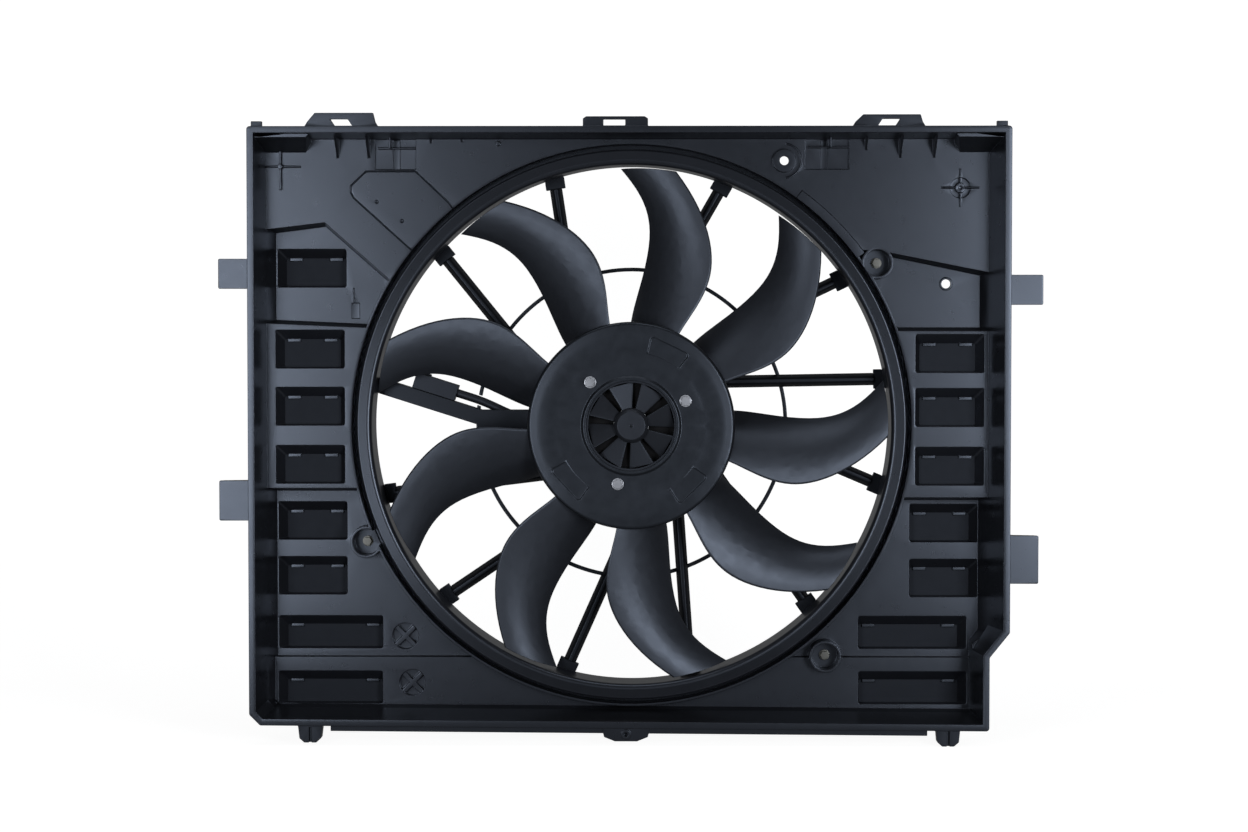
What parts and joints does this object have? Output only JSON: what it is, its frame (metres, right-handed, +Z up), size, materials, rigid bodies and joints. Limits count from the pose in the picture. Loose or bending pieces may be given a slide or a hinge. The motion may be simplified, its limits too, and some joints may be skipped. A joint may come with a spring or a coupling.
{
  "type": "radiator cooling fan",
  "caption": "Vehicle radiator cooling fan: moulded shroud tray with ram-air flaps, ring carrier on tangent struts, brushless motor and a swept-blade fan wheel.",
  "frame": {"origin": "on the fan's axis, in the plane of the shroud's front rim", "axes": "+X to the right seen from the radiator, +Y rearwards along the fan's axis, +Z up"},
  "size_m": [0.7584, 0.113, 0.5836],
  "materials": {
    "shroud_plastic": "satin glass-filled",
    "fan_plastic": "satin moulded",
    "flap_rubber": "smooth rubber",
    "screw_steel": "zinc plated",
    "screw_black": "blackened",
    "rotor_metal": "black coated",
    "magnet": "sintered",
    "shaft_steel": "ground",
    "bearing_steel": "ground",
    "cast_aluminium": "die cast",
    "lamination": "stamped",
    "copper": "enamelled",
    "board": "lacquered",
    "board_can": "sleeved",
    "rubber": "moulded",
    "lead_jacket": "satin jacket",
    "connector_plastic": "moulded",
    "insulator": "moulded"
  },
  "bodies": {
    "shroud_assembly": {"shroud": "shroud_plastic", "fan_ring": "shroud_plastic", "carrier_ears": "shroud_plastic", "carrier_struts": "shroud_plastic", "cable_strut": "shroud_plastic", "carrier_hoop": "shroud_plastic", "motor_seat": "shroud_plastic", "carrier_screws": "screw_black", "front_bearing": "bearing_steel", "rear_bearing": "bearing_steel", "motor_housing": "cast_aluminium", "housing_screws": "screw_steel", "stator_core": "lamination", "stator_insulator": "insulator", "stator_windings": "copper", "control_board": "board", "board_parts": "board_can", "cover_seal": "rubber", "rear_cover": "cast_aluminium", "cover_screws": "screw_steel", "lead_grommet": "rubber", "power_lead": "lead_jacket", "plug_housing": "connector_plastic", "plug_contacts": "copper"},
    "fan": {"fan_hub": "fan_plastic", "fan_blades": "fan_plastic", "fan_screws": "screw_steel", "rotor_bell": "rotor_metal", "rotor_magnets": "magnet", "motor_shaft": "shaft_steel", "shaft_clip": "shaft_steel", "preload_washer": "shaft_steel"},
    "flap_left_1": {"flap_left_1": "flap_rubber"},
    "flap_left_2": {"flap_left_2": "flap_rubber"},
    "flap_left_3": {"flap_left_3": "flap_rubber"},
    "flap_left_4": {"flap_left_4": "flap_rubber"},
    "flap_left_5": {"flap_left_5": "flap_rubber"},
    "flap_left_6": {"flap_left_6": "flap_rubber"},
    "flap_left_7": {"flap_left_7": "flap_rubber"},
    "flap_left_8": {"flap_left_8": "flap_rubber"},
    "flap_right_1": {"flap_right_1": "flap_rubber"},
    "flap_right_2": {"flap_right_2": "flap_rubber"},
    "flap_right_3": {"flap_right_3": "flap_rubber"},
    "flap_right_4": {"flap_right_4": "flap_rubber"},
    "flap_right_5": {"flap_right_5": "flap_rubber"},
    "flap_right_6": {"flap_right_6": "flap_rubber"},
    "flap_right_7": {"flap_right_7": "flap_rubber"}
  },
  "joints": [
    {"name": "fan_spin", "type": "hinge", "parent": "shroud_assembly", "child": "fan", "pos_m": [0, 0, 0], "axis": [0, 1, 0], "continuous": true},
    {"name": "flap_left_1_hinge", "type": "hinge", "parent": "shroud_assembly", "child": "flap_left_1", "pos_m": [-0.2975, 0.0705, 0.162], "axis": [1, 0, 0], "range_deg": [0, 75]},
    {"name": "flap_left_2_hinge", "type": "hinge", "parent": "shroud_assembly", "child": "flap_left_2", "pos_m": [-0.29925, 0.0535, 0.086], "axis": [1, 0, 0], "range_deg": [0, 75]},
    {"name": "flap_left_3_hinge", "type": "hinge", "parent": "shroud_assembly", "child": "flap_left_3", "pos_m": [-0.29925, 0.0535, 0.0325], "axis": [1, 0, 0], "range_deg": [0, 75]},
    {"name": "flap_left_4_hinge", "type": "hinge", "parent": "shroud_assembly", "child": "flap_left_4", "pos_m": [-0.29925, 0.0535, -0.022], "axis": [1, 0, 0], "range_deg": [0, 75]},
    {"name": "flap_left_5_hinge", "type": "hinge", "parent": "shroud_assembly", "child": "flap_left_5", "pos_m": [-0.2975, 0.0705, -0.076], "axis": [1, 0, 0], "range_deg": [0, 75]},
    {"name": "flap_left_6_hinge", "type": "hinge", "parent": "shroud_assembly", "child": "flap_left_6", "pos_m": [-0.2975, 0.0705, -0.128], "axis": [1, 0, 0], "range_deg": [0, 75]},
    {"name": "flap_left_7_hinge", "type": "hinge", "parent": "shroud_assembly", "child": "flap_left_7", "pos_m": [-0.28075, 0.0705, -0.184], "axis": [1, 0, 0], "range_deg": [0, 75]},
    {"name": "flap_left_8_hinge", "type": "hinge", "parent": "shroud_assembly", "child": "flap_left_8", "pos_m": [-0.28075, 0.0665, -0.236], "axis": [1, 0, 0], "range_deg": [0, 75]},
    {"name": "flap_right_1_hinge", "type": "hinge", "parent": "shroud_assembly", "child": "flap_right_1", "pos_m": [0.296, 0.0535, 0.082], "axis": [1, 0, 0], "range_deg": [0, 75]},
    {"name": "flap_right_2_hinge", "type": "hinge", "parent": "shroud_assembly", "child": "flap_right_2", "pos_m": [0.296, 0.0535, 0.0315], "axis": [1, 0, 0], "range_deg": [0, 75]},
    {"name": "flap_right_3_hinge", "type": "hinge", "parent": "shroud_assembly", "child": "flap_right_3", "pos_m": [0.296, 0.0535, -0.0235], "axis": [1, 0, 0], "range_deg": [0, 75]},
    {"name": "flap_right_4_hinge", "type": "hinge", "parent": "shroud_assembly", "child": "flap_right_4", "pos_m": [0.29075, 0.0705, -0.078], "axis": [1, 0, 0], "range_deg": [0, 75]},
    {"name": "flap_right_5_hinge", "type": "hinge", "parent": "shroud_assembly", "child": "flap_right_5", "pos_m": [0.29075, 0.0705, -0.13], "axis": [1, 0, 0], "range_deg": [0, 75]},
    {"name": "flap_right_6_hinge", "type": "hinge", "parent": "shroud_assembly", "child": "flap_right_6", "pos_m": [0.2615, 0.0705, -0.184], "axis": [1, 0, 0], "range_deg": [0, 75]},
    {"name": "flap_right_7_hinge", "type": "hinge", "parent": "shroud_assembly", "child": "flap_right_7", "pos_m": [0.2615, 0.0665, -0.236], "axis": [1, 0, 0], "range_deg": [0, 75]}
  ]
}
